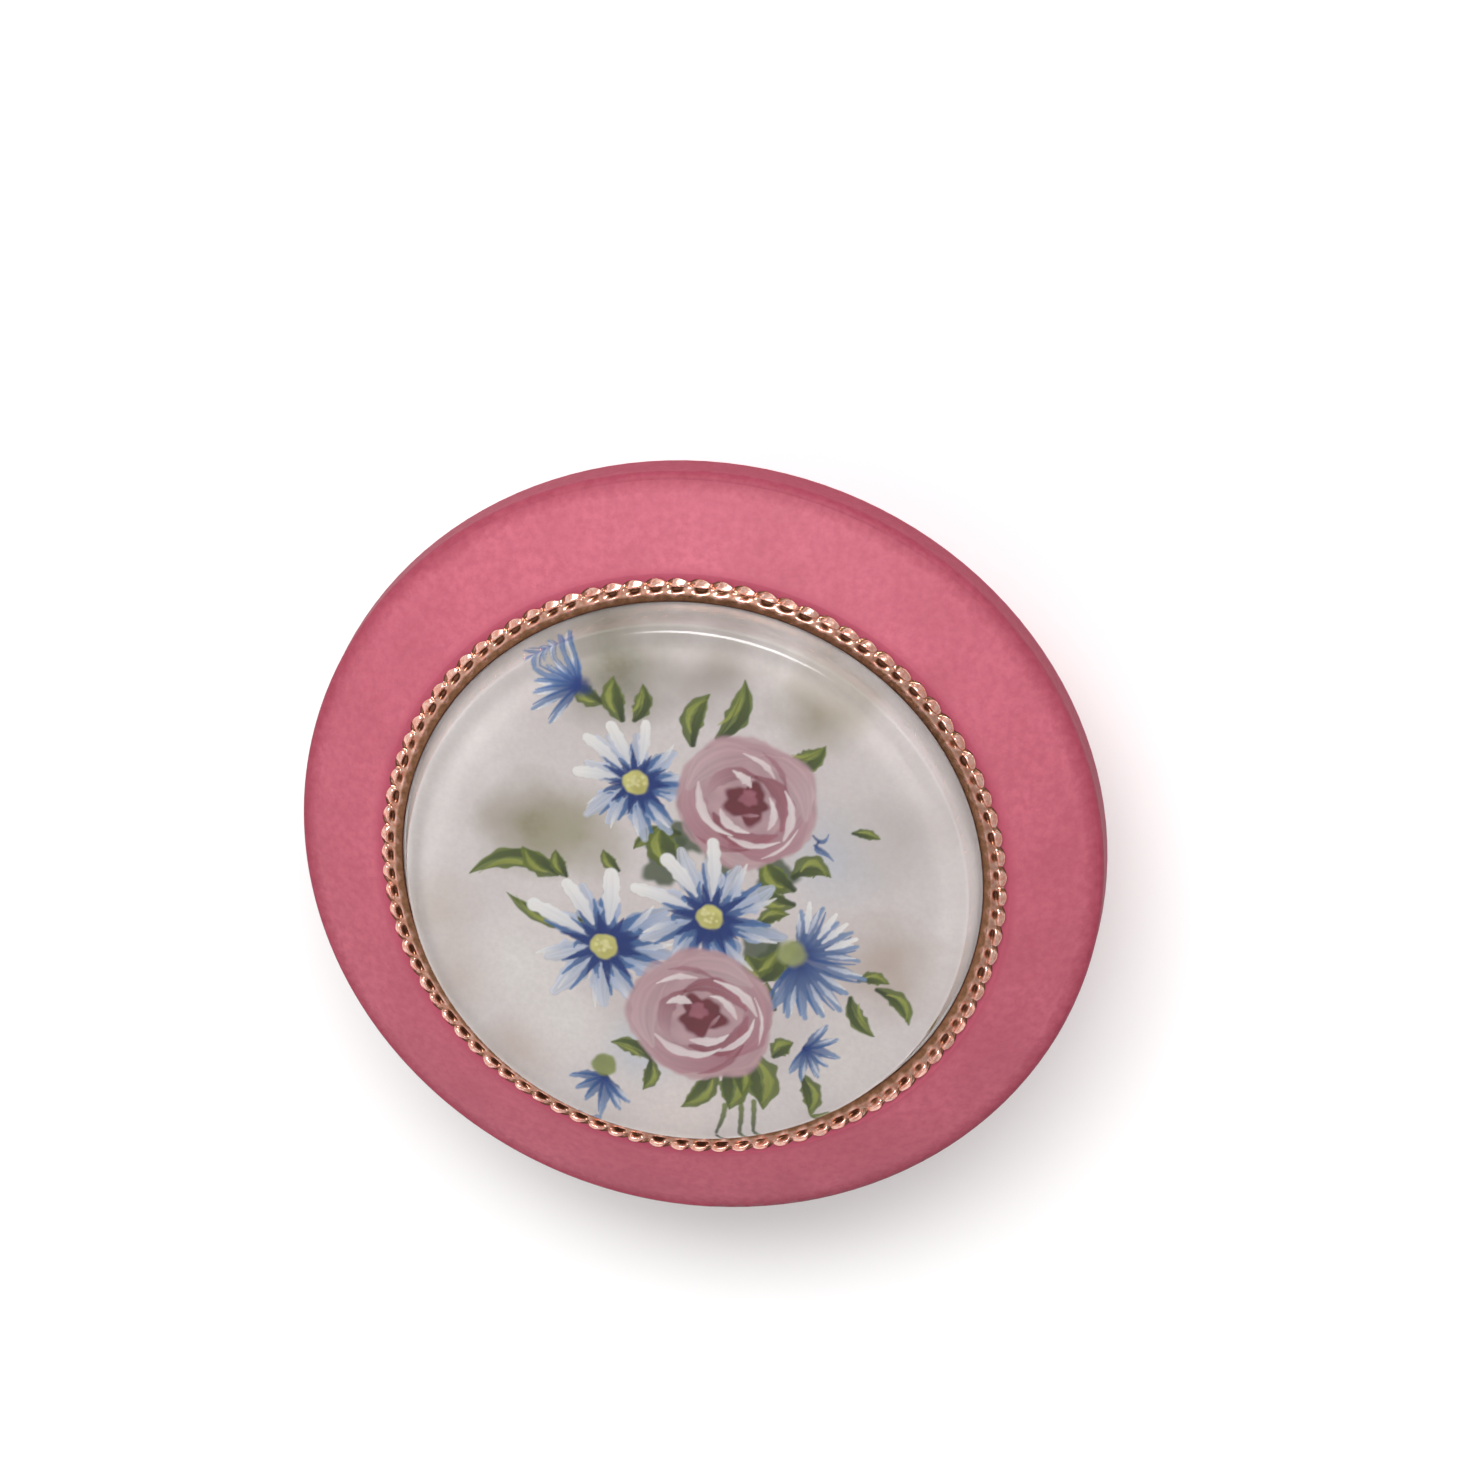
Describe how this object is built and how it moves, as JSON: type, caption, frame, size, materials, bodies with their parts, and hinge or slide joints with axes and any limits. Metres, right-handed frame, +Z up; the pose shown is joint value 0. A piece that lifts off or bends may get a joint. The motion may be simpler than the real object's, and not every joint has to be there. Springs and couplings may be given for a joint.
{
  "type": "powder jar",
  "caption": "Low round powder jar with a wide frosted lid, crystal-covered floral medallion in a scalloped bezel, sifter, powder cup and puff.",
  "frame": {"origin": "bottom centre of the felt foot, on the surface the jar stands on", "axes": "+Z up along the jar's axis; +Y points to the top of the bouquet on the lid, +X to its right"},
  "size_m": [0.08, 0.08, 0.038],
  "materials": {
    "frosted_pink": "frosted, finely mottled, faintly translucent",
    "felt": "short felt",
    "ivory_plastic": "satin moulded",
    "powder": "loose face powder",
    "seal_foam": "closed-cell foam",
    "pink_plastic": "satin moulded",
    "velour": "brushed velour",
    "satin": "woven satin",
    "ribbon": "ribbed satin ribbon",
    "liner_paper": "moire paper",
    "brass": "pressed, bright",
    "card": "plain",
    "picture": "painted bouquet on a pearly ground",
    "crystal": "clear, polished",
    "rose_gold": "rose gold plated, bright"
  },
  "bodies": {
    "bowl": {"bowl": "frosted_pink", "base_felt": "felt"},
    "liner": {"powder_liner": "ivory_plastic", "loose_powder": "powder"},
    "sifter": {"sifter_plate": "ivory_plastic", "sifter_seal": "seal_foam", "sifter_rivet": "ivory_plastic"},
    "shutter": {"sifter_shutter": "pink_plastic"},
    "puff": {"puff_pad": "velour", "puff_backing": "satin", "puff_piping": "satin", "puff_ribbon": "ribbon"},
    "lid": {"lid_shell": "frosted_pink", "lid_liner": "liner_paper", "medallion_tray": "brass", "medallion_rivet": "brass", "backing_card": "card", "picture_disc": "picture", "crystal": "crystal", "bezel_ring": "rose_gold"}
  },
  "joints": [
    {"name": "liner_lift", "type": "slide", "parent": "bowl", "child": "liner", "axis": [0, 0, 1], "range_m": [0, 0.04]},
    {"name": "sifter_lift", "type": "slide", "parent": "liner", "child": "sifter", "axis": [0, 0, 1], "range_m": [0, 0.03]},
    {"name": "shutter_turn", "type": "hinge", "parent": "sifter", "child": "shutter", "pos_m": [0, 0, 0.0146], "axis": [0, 0, 1], "range_deg": [0, 15]},
    {"name": "puff_lift", "type": "slide", "parent": "sifter", "child": "puff", "axis": [0, 0, 1], "range_m": [0, 0.04]},
    {"name": "lid_lift", "type": "slide", "parent": "puff", "child": "lid", "axis": [0, 0, 1], "range_m": [0, 0.06]}
  ]
}
